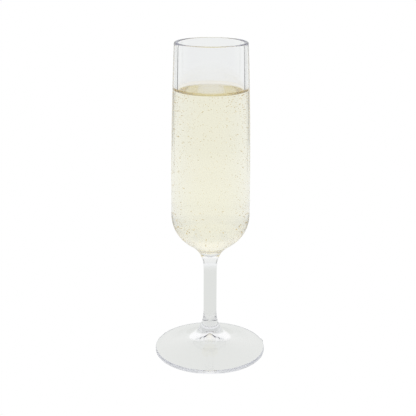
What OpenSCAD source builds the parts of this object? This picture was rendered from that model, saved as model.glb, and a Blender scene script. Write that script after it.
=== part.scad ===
// Champagne flute in three clear mouldings, with a pour of sparkling wine.
// The bowl sits on a solid stem, and the stem on a domed foot. Each joint is a
// round spigot bonded into a blind socket. The origin is on the table under the
// middle of the foot, with +Z up along the flute's axis.

/* [Bowl outside] */
// Height from the table to the top of the lip
flute_h = 208; // [192:1:226]
// Outside diameter at the lip
rim_d = 46; // [44:0.5:50]
// Height of the rounding over the lip
lip_rise = 0.7; // [0.5:0.1:1.2]
// Largest outside diameter, low on the bowl
belly_d = 51; // [50.6:0.1:56]
// Height of the largest diameter
belly_z = 92; // [88:1:96]
// Height where the barrel turns into the rounded bottom
shoulder_z = 97; // [97:0.25:98]
// How far the rounded bottom would drop if it ran to the axis
bottom_drop = 24.5; // [23:0.5:26]
// Angle round the bottom at which the flare to the stem begins
flare_angle = 56; // [54:1:58]

/* [Cavity] */
// Inside diameter at the lip
mouth_d = 41; // [39:0.5:41.5]
// Largest inside diameter
cavity_d = 42.4; // [41.5:0.1:43.5]
// Height of the largest inside diameter
cavity_z = 96.5; // [96:0.5:99]
// Height of the lowest point inside the bowl
tip_z = 69; // [68.5:0.5:71]
// Height of the wine's surface above the table
wine_z = 180; // [120:1:188]

/* [Stem] */
// Diameter of the stem
stem_d = 8.6; // [8:0.1:10]
// Height of the joint between the stem and the bowl
neck_z = 56.5; // [54:0.5:58]
// Height of the joint between the foot and the stem
ankle_z = 29; // [27:0.5:31]
// Diameter of the spigots at both ends of the stem
spigot_d = 5; // [4:0.1:5.5]
// Length of the spigots
spigot_len = 6; // [4:0.5:7]

/* [Foot] */
// Diameter of the foot
foot_d = 73.6; // [70:0.1:78]
// Thickness of the foot at its edge
edge_t = 2.6; // [2.2:0.1:3]
// Radius of the rounded corners of that edge
edge_round = 0.6; // [0.4:0.1:0.9]
// Width of the flat ring that rests on the table
rest_w = 2.6; // [2:0.1:4]
// Height of the hollow under the middle of the foot
recess_h = 11; // [9:0.1:12]

/* [Hidden] */
$fn = 128;

rim_r = rim_d / 2;
belly_r = belly_d / 2;
mouth_r = mouth_d / 2;
cavity_r = cavity_d / 2;
stem_r = stem_d / 2;
foot_r = foot_d / 2;
spigot_r = spigot_d / 2;
lip_r = (rim_r - mouth_r) / 2;
lip_z = flute_h - lip_rise;
rest_r = foot_r - edge_round;

barrel_steps = 24;
round_steps = 20;
curve_steps = 20;
lip_steps = 12;
corner_steps = 5;

// Lengths of the handles that pull each curve along its end tangents
flare_handle_top = 8.5;
flare_handle_bottom = 10.9;
cavity_handle_side = 12;
cavity_handle_tip = 4;
cavity_tip_rise = 1;
foot_handle_stem = 13;
foot_handle_edge = 26.2;
foot_edge_rise = 3.4;
recess_handle_edge = 15;
recess_edge_rise = 2.2;
recess_handle_top = 1;

// Point at t, from 0 to 1, on a cubic curve from a to d with handles b and c
function on_curve(a, b, c, d, t) =
    pow(1 - t, 3) * a + 3 * pow(1 - t, 2) * t * b + 3 * (1 - t) * t * t * c + pow(t, 3) * d;

// The curve as points, without its first one
function curve(a, b, c, d, steps) =
    [for (i = [1:steps]) on_curve(a, b, c, d, i / steps)];

// Points round an elliptical arc from angle a0 to a1, without the first one
function arc(centre, rx, rz, a0, a1, steps) =
    [for (i = [1:steps])
        let (a = a0 + (a1 - a0) * i / steps) centre + [rx * cos(a), rz * sin(a)]];

// Radius of a wall that bows gently from r_wide at z_wide to r_top at z_top
function bowed_r(r_wide, z_wide, r_top, z_top, z) =
    r_wide - (r_wide - r_top) * pow((z - z_wide) / (z_top - z_wide), 2);

function barrel_r(z) = bowed_r(belly_r, belly_z, rim_r, lip_z, z);
function bore_r(z) = bowed_r(cavity_r, cavity_z, mouth_r, lip_z, z);

// Outside of the bowl, from the neck up to the lip
shoulder_r = barrel_r(shoulder_z);
flare_start = [shoulder_r * cos(flare_angle), shoulder_z - bottom_drop * sin(flare_angle)];
flare_slope = [-shoulder_r * sin(flare_angle), -bottom_drop * cos(flare_angle)];
flare_dir = flare_slope / norm(flare_slope);
neck = [stem_r, neck_z];
bowl_outside = concat(
    curve(neck, neck + [0, flare_handle_bottom],
          flare_start + flare_handle_top * flare_dir, flare_start, curve_steps),
    arc([0, shoulder_z], shoulder_r, bottom_drop, -flare_angle, 0, round_steps),
    [for (i = [1:barrel_steps])
        let (z = shoulder_z + (lip_z - shoulder_z) * i / barrel_steps) [barrel_r(z), z]]
);

// Inside of the bowl below height top_z, from the wall down to the lowest point
function cavity_below(top_z) = concat(
    [for (i = [0:barrel_steps])
        let (z = top_z + (cavity_z - top_z) * i / barrel_steps) [bore_r(z), z]],
    curve([cavity_r, cavity_z], [cavity_r, cavity_z - cavity_handle_side],
          [cavity_handle_tip, tip_z + cavity_tip_rise], [0, tip_z], curve_steps)
);

// Top of the foot, from the ankle out to the edge
ankle = [stem_r, ankle_z];
edge_top = [foot_r - edge_round, edge_t];
foot_top = concat(
    [ankle],
    curve(ankle, ankle - [0, foot_handle_stem],
          edge_top + [-foot_handle_edge, foot_edge_rise], edge_top, curve_steps),
    arc([foot_r - edge_round, edge_t - edge_round], edge_round, edge_round, 90, 0, corner_steps),
    arc([foot_r - edge_round, edge_round], edge_round, edge_round, 0, -90, corner_steps)
);

// Hollow under the foot, from the rest ring up to the axis
recess_edge = [rest_r - rest_w, 0];
recess = concat(
    [recess_edge],
    curve(recess_edge, recess_edge + [-recess_handle_edge, recess_edge_rise],
          [recess_handle_top, recess_h], [0, recess_h], curve_steps)
);

// Bowl: barrel, rounded bottom and flare in one piece, with a socket for the stem
module bowl() {
    color([0.9, 0.93, 0.92, 0.35])
    rotate_extrude()
    polygon(concat(
        [[spigot_r, neck_z], neck],
        bowl_outside,
        arc([rim_r - lip_r, lip_z], lip_r, lip_rise, 0, 180, lip_steps),
        [for (p = cavity_below(lip_z)) if (p.y < lip_z) p],
        [[0, neck_z + spigot_len], [spigot_r, neck_z + spigot_len]]
    ));
}

// Stem: solid rod with a spigot on each end
module stem() {
    color([0.82, 0.85, 0.84, 0.5]) {
        translate([0, 0, ankle_z]) cylinder(r = stem_r, h = neck_z - ankle_z);
        translate([0, 0, ankle_z - spigot_len])
            cylinder(r = spigot_r, h = neck_z - ankle_z + 2 * spigot_len);
    }
}

// Foot: domed disc, hollow underneath, with a socket for the stem in its middle
module foot() {
    color([0.85, 0.88, 0.88, 0.45])
    rotate_extrude()
    polygon(concat(
        [[spigot_r, ankle_z - spigot_len], [spigot_r, ankle_z]],
        foot_top,
        recess,
        [[0, ankle_z - spigot_len]]
    ));
}

// Wine: fills the cavity up to its surface
module wine() {
    color([0.94, 0.9, 0.68, 0.6])
    rotate_extrude()
    polygon(concat([[0, wine_z]], cavity_below(wine_z)));
}

bowl();
stem();
foot();
wine();
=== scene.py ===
"""A champagne flute in clear plastic with a pour of sparkling wine, on a pale studio floor.

Every outline is a half section of (radius, height) points in metres, turned round the Z axis. The overall
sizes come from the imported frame, and the rest are the same driving values that shape the CAD solids.
"""

import math

import bmesh
import bpy
import numpy as np
from mathutils import Matrix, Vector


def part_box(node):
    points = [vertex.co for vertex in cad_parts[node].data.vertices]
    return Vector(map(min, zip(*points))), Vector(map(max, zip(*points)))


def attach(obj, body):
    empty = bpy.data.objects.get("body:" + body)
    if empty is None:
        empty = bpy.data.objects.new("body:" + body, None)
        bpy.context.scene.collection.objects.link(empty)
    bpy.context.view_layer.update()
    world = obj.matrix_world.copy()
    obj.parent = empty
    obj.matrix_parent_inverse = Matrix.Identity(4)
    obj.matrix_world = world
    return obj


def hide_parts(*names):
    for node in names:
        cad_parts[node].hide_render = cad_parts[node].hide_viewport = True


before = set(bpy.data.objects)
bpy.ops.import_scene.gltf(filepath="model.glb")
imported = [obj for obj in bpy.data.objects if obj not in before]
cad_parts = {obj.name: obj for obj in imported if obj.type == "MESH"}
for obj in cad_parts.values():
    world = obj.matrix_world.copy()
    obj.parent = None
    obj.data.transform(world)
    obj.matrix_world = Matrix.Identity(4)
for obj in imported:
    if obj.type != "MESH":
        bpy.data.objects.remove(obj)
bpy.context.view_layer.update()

MM = 0.001
BODY = "root"

# Sizes read from the frame
bowl_low, bowl_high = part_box("bowl")
_, stem_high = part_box("stem")
_, foot_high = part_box("foot")
wine_low, wine_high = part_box("wine")
FLUTE_H = bowl_high.z
BELLY_R = bowl_high.x
NECK_Z = bowl_low.z
STEM_R = stem_high.x
SPIGOT_LEN = stem_high.z - NECK_Z
ANKLE_Z = foot_high.z
FOOT_R = foot_high.x
WINE_Z = wine_high.z
TIP_Z = wine_low.z
CAVITY_R = wine_high.x

# Sizes that the boxes don't give. A handle is how far a curve is pulled along its end's tangent.
RIM_R = 23.0 * MM
MOUTH_R = 20.5 * MM
LIP_RISE = 0.7 * MM
BELLY_Z = 92 * MM
SHOULDER_Z = 97 * MM
BOTTOM_DROP = 24.5 * MM
FLARE_ANGLE = math.radians(56)
FLARE_HANDLE_TOP = 8.5 * MM
FLARE_HANDLE_BOTTOM = 10.9 * MM
CAVITY_Z = 96.5 * MM
CAVITY_HANDLE_SIDE = 12 * MM
CAVITY_HANDLE_TIP = 4 * MM
CAVITY_TIP_RISE = 1 * MM
SPIGOT_R = 2.5 * MM
EDGE_T = 2.6 * MM
EDGE_ROUND = 0.6 * MM
FOOT_HANDLE_STEM = 13 * MM
FOOT_HANDLE_EDGE = 26.2 * MM
FOOT_EDGE_RISE = 3.4 * MM
REST_W = 2.6 * MM
RECESS_H = 11 * MM
RECESS_HANDLE_EDGE = 15 * MM
RECESS_EDGE_RISE = 2.2 * MM
RECESS_HANDLE_TOP = 1 * MM

# The wine's surface climbs to the wall in a meniscus, which flattens out at this rate
MENISCUS_H = 2.1 * MM
MENISCUS_W = 2.4 * MM
MENISCUS_RATE = 4

# The wine stands off the wall, and the stem off its sockets, so that no two faces coincide
WALL_GAP = 0.02 * MM
JOINT_GAP = 0.02 * MM

# A small scar stands out of the foot's edge where its moulding was cut from the runner
GATE_ANGLE = math.radians(14)
GATE_HALF = math.radians(3.2)
GATE_OUT = 0.7 * MM
GATE_REACH = 1.5 * EDGE_ROUND

# Bubbles cling to the wall, rise through the wine, and gather in a collar under its surface
WALL_BUBBLES = 2500
RISING_BUBBLES = 420
COLLAR_BUBBLES = 90
WALL_SIZES = (0.1, 0.27)
RISING_SIZES = (0.08, 0.2)
COLLAR_SIZES = (0.14, 0.34)
COLLAR_DEPTH = 0.6
BUBBLE_CLEAR = 0.08 * MM
BUBBLE_TOP_GAP = 2 * MM
RISING_REACH = 19 * MM
BUBBLE_SEED = 11
# Three in five of those on the wall are on the barrel, crowded towards its top, and the others lower down
BARREL_CROWDING = 1.9
BARREL_BELOW = 6 * MM
BOTTOM_SHARE = (0.02, 0.85)
# This share of all of them stays near the +X and -X sides, with this spread in radians
SIDE_SHARE = 0.68
SIDE_SPREAD = 0.48

# Refractive indices: the plastic against air, the wine against air, the wine against the plastic, and the
# gas in a bubble against the wine
PLASTIC_IOR = 1.58
WINE_IOR = 1.34
WETTED_IOR = WINE_IOR / PLASTIC_IOR
BUBBLE_IOR = 1 / WINE_IOR

# What the plastic and the wine take out of the light on its way through, per metre
PLASTIC_TINT = (0.5, 0.52, 0.70)
PLASTIC_DENSITY = 3.0
WINE_TINT = (0.958, 0.899, 0.533)
WINE_DENSITY = 12.5

CLEAR = (1.0, 1.0, 1.0)
FREE_SURFACE_TINT = (0.98, 0.95, 0.885)
BUBBLE_TINT = (0.95, 0.88, 0.74)
RIPPLE_SCALE = 60.0
RIPPLE_H = 0.012 * MM

# How finely a piece is turned, the radius that counts as on the axis, and the angle that counts as an edge
SEGMENTS = 256
ON_AXIS = 1e-7
SHARP_ANGLE = math.radians(35)


# ---------------------------------------------------------------- outlines


def curve(a, b, c, d, steps):
    """Points on a cubic curve from a to d with handles b and c, without the first one."""
    a, b, c, d = (np.array(p, float) for p in (a, b, c, d))
    ts = [i / steps for i in range(1, steps + 1)]
    return [(1 - t) ** 3 * a + 3 * (1 - t) ** 2 * t * b + 3 * (1 - t) * t * t * c + t**3 * d for t in ts]


def arc(centre, rx, rz, start, end, steps):
    """Points round an elliptical arc between two angles in radians, without the first one."""
    angles = [start + (end - start) * i / steps for i in range(1, steps + 1)]
    return [np.array([centre[0] + rx * math.cos(a), centre[1] + rz * math.sin(a)]) for a in angles]


def bowed_r(r_wide, z_wide, r_top, z_top, z):
    """Radius of a wall that bows gently from r_wide at z_wide to r_top at z_top."""
    return r_wide - (r_wide - r_top) * ((z - z_wide) / (z_top - z_wide)) ** 2


LIP_W = (RIM_R - MOUTH_R) / 2
LIP_Z = FLUTE_H - LIP_RISE


def barrel_r(z):
    return bowed_r(BELLY_R, BELLY_Z, RIM_R, LIP_Z, z)


def bore_r(z):
    return bowed_r(CAVITY_R, CAVITY_Z, MOUTH_R, LIP_Z, z)


def straight_up(radius, low, high, steps):
    """Points of a wall whose radius is a function of height, from low to high, without the first one."""
    return [np.array([radius(z), z]) for z in np.linspace(low, high, steps + 1)[1:]]


def bowl_outside():
    """From the neck up the flare, the rounded bottom and the barrel to the lip."""
    shoulder_r = barrel_r(SHOULDER_Z)
    flare = np.array([shoulder_r * math.cos(FLARE_ANGLE), SHOULDER_Z - BOTTOM_DROP * math.sin(FLARE_ANGLE)])
    slope = np.array([-shoulder_r * math.sin(FLARE_ANGLE), -BOTTOM_DROP * math.cos(FLARE_ANGLE)])
    slope /= np.linalg.norm(slope)
    neck = np.array([STEM_R, NECK_Z])
    return (
        curve(neck, neck + [0, FLARE_HANDLE_BOTTOM], flare + FLARE_HANDLE_TOP * slope, flare, 40)
        + arc((0, SHOULDER_Z), shoulder_r, BOTTOM_DROP, -FLARE_ANGLE, 0, 48)
        + straight_up(barrel_r, SHOULDER_Z, LIP_Z, 64)
    )


def cavity(top_z, gap=0.0):
    """The inside of the bowl from height top_z down to its lowest point, drawn in by gap."""
    wall = [np.array([bore_r(z), z]) for z in np.linspace(top_z, CAVITY_Z, 65)]
    tip = curve(
        (CAVITY_R, CAVITY_Z),
        (CAVITY_R, CAVITY_Z - CAVITY_HANDLE_SIDE),
        (CAVITY_HANDLE_TIP, TIP_Z + CAVITY_TIP_RISE),
        (0, TIP_Z),
        64,
    )
    drawn_in = [np.array([max(r - gap, 0), z]) for r, z in wall]
    return drawn_in + [np.array([max(r - gap, 0), z + gap]) for r, z in tip]


def foot_top():
    """From the ankle out over the dome and round the edge to the rest ring."""
    ankle = np.array([STEM_R, ANKLE_Z])
    edge = np.array([FOOT_R - EDGE_ROUND, EDGE_T])
    corner_r = FOOT_R - EDGE_ROUND
    return (
        curve(ankle, ankle - [0, FOOT_HANDLE_STEM], edge + [-FOOT_HANDLE_EDGE, FOOT_EDGE_RISE], edge, 72)
        + arc((corner_r, EDGE_T - EDGE_ROUND), EDGE_ROUND, EDGE_ROUND, math.pi / 2, 0, 8)
        + arc((corner_r, EDGE_ROUND), EDGE_ROUND, EDGE_ROUND, 0, -math.pi / 2, 8)
    )


def foot_hollow():
    """From the rest ring's inner edge up to the axis."""
    edge = np.array([FOOT_R - EDGE_ROUND - REST_W, 0])
    return [edge] + curve(
        edge,
        edge + [-RECESS_HANDLE_EDGE, RECESS_EDGE_RISE],
        (RECESS_HANDLE_TOP, RECESS_H),
        (0, RECESS_H),
        64,
    )


# ------------------------------------------------------------------ meshes


def lathe(name, stretches, attribute):
    """A closed body turned from stretches of (marked, points). Faces that end at a marked stretch's points
    carry 1 in the named attribute, and the others 0."""
    mesh = bpy.data.meshes.new(name)
    verts, faces, marks, rings = [], [], [], []
    for marked, points in stretches:
        for r, z in points:
            if r < ON_AXIS:
                ring = [len(verts)]
                verts.append((0, 0, z))
            else:
                ring = list(range(len(verts), len(verts) + SEGMENTS))
                turns = [2 * math.pi * i / SEGMENTS for i in range(SEGMENTS)]
                verts += [(r * math.cos(a), r * math.sin(a), z) for a in turns]
            rings.append((ring, marked))
    for (low, _), (high, marked) in zip(rings, rings[1:] + rings[:1]):
        if len(low) == 1 and len(high) == 1:
            continue
        for i in range(SEGMENTS):
            j = (i + 1) % SEGMENTS
            corners = [low[i % len(low)], low[j % len(low)], high[j % len(high)], high[i % len(high)]]
            faces.append(list(dict.fromkeys(corners)))
            marks.append(float(marked))
    mesh.from_pydata(verts, [], faces)
    mark = mesh.attributes.new(attribute, "FLOAT", "FACE")
    mark.data.foreach_set("value", marks)
    mesh.polygons.foreach_set("use_smooth", [True] * len(faces))
    mesh.set_sharp_from_angle(angle=SHARP_ANGLE)
    outward(mesh)
    return added(name, mesh)


def outward(mesh):
    """Turns every face's normal away from the solid."""
    work = bmesh.new()
    work.from_mesh(mesh)
    bmesh.ops.recalc_face_normals(work, faces=work.faces)
    work.to_mesh(mesh)
    work.free()


def added(name, mesh):
    """The mesh as an object in the scene."""
    piece = bpy.data.objects.new(name, mesh)
    bpy.context.scene.collection.objects.link(piece)
    return piece


# --------------------------------------------------------------- materials


class Nodes:
    """Short calls for building a node tree."""

    def __init__(self, tree):
        self.tree = tree
        tree.nodes.clear()

    def put(self, value, socket):
        if isinstance(value, bpy.types.NodeSocket):
            self.tree.links.new(value, socket)
        else:
            socket.default_value = value

    def node(self, kind, settings=None, **inputs):
        made = self.tree.nodes.new("ShaderNode" + kind)
        for key, value in (settings or {}).items():
            setattr(made, key, value)
        for key, value in inputs.items():
            self.put(value, made.inputs[key.replace("_", " ")])
        return made

    def math(self, operation, *values):
        made = self.tree.nodes.new("ShaderNodeMath")
        made.operation = operation
        for value, socket in zip(values, made.inputs):
            self.put(value, socket)
        return made.outputs[0]

    def ramp(self, value, start, end):
        """0 below start, 1 above end and smooth between."""
        made = self.tree.nodes.new("ShaderNodeMapRange")
        made.interpolation_type = "SMOOTHSTEP"
        for key, part in (("Value", value), ("From Min", start), ("From Max", end)):
            self.put(part, made.inputs[key])
        return made.outputs[0]

    def colours(self, share, low, high):
        """The colour low where share is 0, and high where it is 1."""
        made = self.tree.nodes.new("ShaderNodeMix")
        made.data_type = "RGBA"
        self.put(share, made.inputs[0])
        for value, socket in ((low, made.inputs[6]), (high, made.inputs[7])):
            self.put((*value, 1.0) if isinstance(value, tuple) else value, socket)
        return made.outputs[2]

    def mixed(self, factor, first, second):
        made = self.tree.nodes.new("ShaderNodeMixShader")
        for value, socket in zip((factor, first, second), made.inputs):
            self.put(value, socket)
        return made.outputs[0]

    def out(self, surface, volume=None):
        made = self.tree.nodes.new("ShaderNodeOutputMaterial")
        self.put(surface, made.inputs["Surface"])
        if volume is not None:
            self.put(volume, made.inputs["Volume"])


def new_material(name):
    made = bpy.data.materials.new(name)
    made.use_nodes = True
    return made, Nodes(made.node_tree)


HIDDEN = "hidden_face"
SURFACE = "free_surface"


def ripple(nodes):
    """Very shallow unevenness, as a moulding keeps from its tool."""
    place = nodes.node("TexCoord").outputs["Object"]
    noise = nodes.node("TexNoise", Vector=place, Scale=RIPPLE_SCALE, Detail=2.0).outputs["Fac"]
    return nodes.node("Bump", Height=noise, Strength=1.0, Distance=RIPPLE_H).outputs["Normal"]


def smooth_glass(nodes, colour, ior, **more):
    return nodes.node("BsdfGlass", Color=(*colour, 1), Roughness=0.0, IOR=ior, **more).outputs[0]


def absorption(nodes, colour, density):
    return nodes.node("VolumeAbsorption", Color=(*colour, 1), Density=density).outputs[0]


def face_mark(nodes, attribute):
    return nodes.node("Attribute", {"attribute_name": attribute}).outputs["Fac"]


def clear_plastic(name):
    """Polished clear plastic. Bonded and wetted faces let rays straight through, because the piece on the
    other side of them carries the interface."""
    made, nodes = new_material(name)
    glass = smooth_glass(nodes, CLEAR, PLASTIC_IOR, Normal=ripple(nodes))
    through = nodes.node("BsdfTransparent").outputs[0]
    surface = nodes.mixed(face_mark(nodes, HIDDEN), glass, through)
    nodes.out(surface, absorption(nodes, PLASTIC_TINT, PLASTIC_DENSITY))
    return made


def wine_material():
    """Pale gold wine: one index against the wall that holds it, and another at its free surface."""
    made, nodes = new_material("sparkling_wine")
    wetted = smooth_glass(nodes, CLEAR, WETTED_IOR)
    free = smooth_glass(nodes, FREE_SURFACE_TINT, WINE_IOR)
    surface = nodes.mixed(face_mark(nodes, SURFACE), wetted, free)
    nodes.out(surface, absorption(nodes, WINE_TINT, WINE_DENSITY))
    return made


def bubble_material():
    made, nodes = new_material("wine_bubbles")
    nodes.out(smooth_glass(nodes, BUBBLE_TINT, BUBBLE_IOR))
    return made


# ------------------------------------------------------------------ pieces


def finish_piece(piece, material, node):
    """Gives the piece its material, says which body it rides, and hides the CAD node it stands for."""
    piece.data.materials.append(material)
    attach(piece, BODY)
    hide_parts(node)


def points(*pairs):
    return [np.array(pair) for pair in pairs]


def make_bowl():
    end = NECK_Z + SPIGOT_LEN
    socket = points((0, end), (SPIGOT_R, end), (SPIGOT_R, NECK_Z), (STEM_R, NECK_Z))
    lip = arc((RIM_R - LIP_W, LIP_Z), LIP_W, LIP_RISE, 0, math.pi, 24)
    dry = [p for p in cavity(LIP_Z)[1:] if p[1] > WINE_Z]
    waterline, *wet = cavity(WINE_Z)
    outside = bowl_outside() + lip + dry + [waterline]
    bowl = lathe("bowl_shell", [(True, socket), (False, outside), (True, wet)], HIDDEN)
    finish_piece(bowl, clear_plastic("clear_bowl_plastic"), "bowl")


def make_stem():
    low, top = ANKLE_Z + JOINT_GAP, NECK_Z - JOINT_GAP
    spigot_r = SPIGOT_R - JOINT_GAP
    foot_end = points((0, low - SPIGOT_LEN), (spigot_r, low - SPIGOT_LEN), (spigot_r, low), (STEM_R, low))
    rod = straight_up(lambda z: STEM_R, low, top, 24)
    bowl_end = points((spigot_r, top), (spigot_r, top + SPIGOT_LEN), (0, top + SPIGOT_LEN))
    stem = lathe("stem_rod", [(True, foot_end), (False, rod), (True, bowl_end)], HIDDEN)
    finish_piece(stem, clear_plastic("clear_stem_plastic"), "stem")


def make_foot():
    end = ANKLE_Z - SPIGOT_LEN
    socket = points((0, end), (SPIGOT_R, end), (SPIGOT_R, ANKLE_Z), (STEM_R, ANKLE_Z))
    foot = lathe("foot_disc", [(True, socket), (False, foot_top() + foot_hollow())], HIDDEN)
    draw_out_gate(foot.data)
    finish_piece(foot, clear_plastic("clear_foot_plastic"), "foot")


def draw_out_gate(mesh):
    """Draws the foot's edge out a little where the moulding was cut off."""
    for vert in mesh.vertices:
        off = math.atan2(vert.co.y, vert.co.x) - GATE_ANGLE
        if math.hypot(vert.co.x, vert.co.y) > FOOT_R - GATE_REACH and abs(off) < GATE_HALF:
            push = 1 + GATE_OUT / FOOT_R * (1 - (off / GATE_HALF) ** 4)
            vert.co.x *= push
            vert.co.y *= push


def meniscus_drop(share):
    """How far the surface is below its edge, at a share of the meniscus's width in from the wall."""
    return MENISCUS_H * (1 - math.exp(-MENISCUS_RATE * share)) / (1 - math.exp(-MENISCUS_RATE))


def make_wine():
    """The wine, and the height of its surface inside the meniscus."""
    side = cavity(WINE_Z, WALL_GAP)[::-1]
    wall_r = side[-1][0]
    shares = np.linspace(0, 1, 20)[1:]
    climb = [np.array([wall_r - MENISCUS_W * share, WINE_Z - meniscus_drop(share)]) for share in shares]
    level = climb[-1][1]
    flat = [np.array([r, level]) for r in np.linspace(climb[-1][0], 0, 8)[1:]]
    wine = lathe("wine_body", [(False, side), (True, climb + flat)], SURFACE)
    finish_piece(wine, wine_material(), "wine")
    return level


def along(profile, share):
    """A point on the profile at a share of its length, and the direction into the wine there."""
    steps = np.diff(profile, axis=0)
    reach = np.concatenate([[0], np.cumsum(np.linalg.norm(steps, axis=1))])
    i = min(int(np.searchsorted(reach, share * reach[-1], side="right")) - 1, len(steps) - 1)
    way = steps[i] / np.linalg.norm(steps[i])
    return profile[i] + (share * reach[-1] - reach[i]) * way, np.array([way[1], -way[0]])


def bubble_spots(level):
    """Centre x, y, z and radius of each bubble."""
    rng = np.random.default_rng(BUBBLE_SEED)
    top = level - BUBBLE_TOP_GAP
    barrel = np.array([p for p in cavity(top, WALL_GAP) if p[1] > SHOULDER_Z - BARREL_BELOW])
    bottom = np.array([p for p in cavity(level, WALL_GAP) if p[1] < SHOULDER_Z])
    spots = []
    for i in range(WALL_BUBBLES):
        size = rng.uniform(*WALL_SIZES) * MM
        if i % 5 < 3:
            point, inward = along(barrel, rng.uniform(0, 1) ** BARREL_CROWDING)
        else:
            point, inward = along(bottom, rng.uniform(*BOTTOM_SHARE))
        spots.append((*(point + inward * (size + BUBBLE_CLEAR)), size))
    for _ in range(RISING_BUBBLES):
        r = RISING_REACH * math.sqrt(rng.uniform(0, 0.95))
        z = rng.uniform(SHOULDER_Z, top)
        spots.append((r, z, rng.uniform(*RISING_SIZES) * MM))
    for _ in range(COLLAR_BUBBLES):
        size = rng.uniform(*COLLAR_SIZES) * MM
        z = level - size - BUBBLE_CLEAR - rng.uniform(0, COLLAR_DEPTH) * MM
        spots.append((bore_r(z) - WALL_GAP - size - BUBBLE_CLEAR, z, size))
    near_sides = rng.uniform(0, 1, len(spots)) < SIDE_SHARE
    side_turns = rng.normal(0, SIDE_SPREAD, len(spots)) + math.pi * rng.integers(0, 2, len(spots))
    turns = np.where(near_sides, side_turns, rng.uniform(0, 2 * math.pi, len(spots)))
    return [(r * math.cos(a), r * math.sin(a), z, size) for (r, z, size), a in zip(spots, turns)]


def make_bubbles(level):
    """All the bubbles as one mesh of small closed balls, under a surface at this height."""
    ball = bmesh.new()
    bmesh.ops.create_icosphere(ball, subdivisions=2, radius=1.0)
    ball_verts = np.array([vert.co for vert in ball.verts])
    ball_faces = np.array([[vert.index for vert in face.verts] for face in ball.faces])
    ball.free()
    spots = bubble_spots(level)
    verts = np.concatenate([ball_verts * size + (x, y, z) for x, y, z, size in spots])
    faces = np.concatenate([ball_faces + i * len(ball_verts) for i in range(len(spots))])
    mesh = bpy.data.meshes.new("wine_bubbles")
    mesh.from_pydata(verts.tolist(), [], faces.tolist())
    mesh.polygons.foreach_set("use_smooth", [True] * len(faces))
    finish_piece(added("wine_bubbles", mesh), bubble_material(), "wine")


make_bowl()
make_stem()
make_foot()
make_bubbles(make_wine())


# ------------------------------------------------- floor, light and camera

# The floor lies a hair below the rest ring, so that the two don't coincide
FLOOR_HALF = 3.0
FLOOR_Z = -0.05 * MM

# What the flute bends and reflects
WHITE = (1.0, 1.0, 1.0)
# The floor's tone close round the foot is a painted shadow, darker where the flute would shade it
PAINTED_FOOT_SHADOW = (0.752, 0.765, 0.744)
BACK_PANEL = (0.88, 0.892, 0.885)
SIDE_PANEL = (0.91, 0.92, 0.92)
DARK_GAP = (0.2, 0.2, 0.2)
FRONT_LOW = (0.72, 0.72, 0.76)
FRONT_HIGH = (0.1, 0.1, 0.12)

# Where one tone gives way to the next: degrees round from the back, then metres out along the floor, then
# the height of a ray's direction
GAP_FROM = (44.0, 46.5)
GAP_TO = (50.0, 54.0)
FRONT_FROM = (80.0, 100.0)
# The painted shadow round the foot fades out between these distances from the axis
PAINTED_SHADOW_FROM = (0.13, 0.36)
GAP_REACH = (0.45, 0.52)
HIGH_FROM = (0.1, 0.3)
OVERHEAD_FROM = (0.1, 0.3)
CEILING_FROM = (0.7, 0.9)


def angle_from_back(nodes, x, y):
    """Degrees round from +Y, behind the flute, to either side."""
    return nodes.math("MULTIPLY", nodes.math("ARCTAN2", nodes.math("ABSOLUTE", x), y), 180 / math.pi)


def panels(nodes, angle):
    """The lit part of the studio: a wide panel behind, a narrow dark gap beside it, and bright sides."""
    gap = nodes.colours(nodes.ramp(angle, *GAP_FROM), BACK_PANEL, DARK_GAP)
    return nodes.colours(nodes.ramp(angle, *GAP_TO), gap, SIDE_PANEL)


def seen_white(nodes, colour):
    """Plain white where the camera sees the studio itself, and colour where the flute shows it."""
    return nodes.colours(nodes.node("LightPath").outputs["Is Camera Ray"], colour, WHITE)


def make_world():
    world = bpy.data.worlds.new("studio")
    bpy.context.scene.world = world
    world.use_nodes = True
    nodes = Nodes(world.node_tree)
    x, y, z = nodes.node("SeparateXYZ", Vector=nodes.node("TexCoord").outputs["Generated"]).outputs
    angle = angle_from_back(nodes, x, y)
    lit = nodes.colours(nodes.ramp(z, *OVERHEAD_FROM), panels(nodes, angle), WHITE)
    front = nodes.colours(nodes.ramp(z, *HIGH_FROM), FRONT_LOW, FRONT_HIGH)
    around = nodes.colours(nodes.ramp(angle, *FRONT_FROM), lit, front)
    around = nodes.colours(nodes.ramp(z, *CEILING_FROM), around, WHITE)
    light = nodes.node("Background", Color=seen_white(nodes, around), Strength=1.0).outputs[0]
    out = nodes.tree.nodes.new("ShaderNodeOutputWorld")
    nodes.put(light, out.inputs["Surface"])


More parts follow.
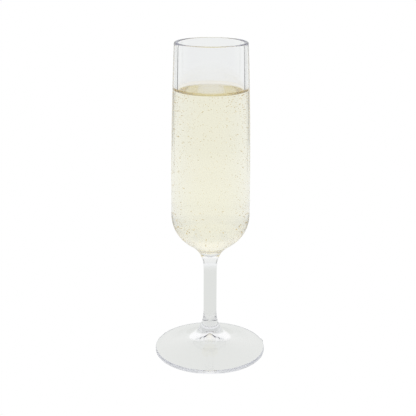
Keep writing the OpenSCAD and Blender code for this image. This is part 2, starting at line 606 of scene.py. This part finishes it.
def make_floor():
    mesh = bpy.data.meshes.new("floor")
    corners = [(-1, -1), (1, -1), (1, 1), (-1, 1)]
    mesh.from_pydata([(FLOOR_HALF * x, FLOOR_HALF * y, FLOOR_Z) for x, y in corners], [], [(0, 1, 2, 3)])
    floor = added("floor", mesh)
    made, nodes = new_material("pale_floor")
    # The floor glows rather than being lit, and its tones are painted: plain side-panel tone near the flute,
    # and further out painted copies of the studio's back panel, dark gap and dim front
    x, y, _ = nodes.node("SeparateXYZ", Vector=nodes.node("NewGeometry").outputs["Position"]).outputs
    reach = nodes.math("SQRT", nodes.math("ADD", nodes.math("MULTIPLY", x, x), nodes.math("MULTIPLY", y, y)))
    angle = angle_from_back(nodes, x, y)
    around = nodes.colours(nodes.ramp(angle, *FRONT_FROM), panels(nodes, angle), FRONT_LOW)
    around = nodes.colours(nodes.ramp(reach, *GAP_REACH), SIDE_PANEL, around)
    # Close round the foot the floor's glow is darkened into a painted shadow
    lit = nodes.colours(nodes.ramp(reach, *PAINTED_SHADOW_FROM), PAINTED_FOOT_SHADOW, around)
    nodes.out(nodes.node("Emission", Color=seen_white(nodes, lit), Strength=1.0).outputs[0])
    mesh.materials.append(made)


# The camera stands in front of the flute and looks down at it, with a long lens and a touch of roll
CAMERA_BACK = 0.5603
CAMERA_UP = 0.2828
CAMERA_PITCH = math.radians(17.99)
CAMERA_ROLL = math.radians(0.29)
FIELD_LENS = 78.53
SENSOR = 36.0
SHIFT_X = -0.006


def make_camera():
    data = bpy.data.cameras.new("camera")
    data.sensor_width = SENSOR
    data.lens = FIELD_LENS
    data.shift_x = SHIFT_X
    camera = added("camera", data)
    tilt = Matrix.Rotation(math.pi / 2 - CAMERA_PITCH, 4, "X") @ Matrix.Rotation(CAMERA_ROLL, 4, "Z")
    camera.matrix_world = Matrix.Translation((0, -CAMERA_BACK, CAMERA_UP)) @ tilt
    bpy.context.scene.camera = camera


BOUNCES = 200


def light_paths():
    """Enough bounces for rays that run round inside the rim and the foot's edge, and plain view colours."""
    cycles = bpy.context.scene.cycles
    cycles.max_bounces = BOUNCES
    cycles.transmission_bounces = BOUNCES
    cycles.glossy_bounces = BOUNCES
    cycles.transparent_max_bounces = BOUNCES
    bpy.context.scene.view_settings.view_transform = "Standard"


make_world()
make_floor()
make_camera()
light_paths()
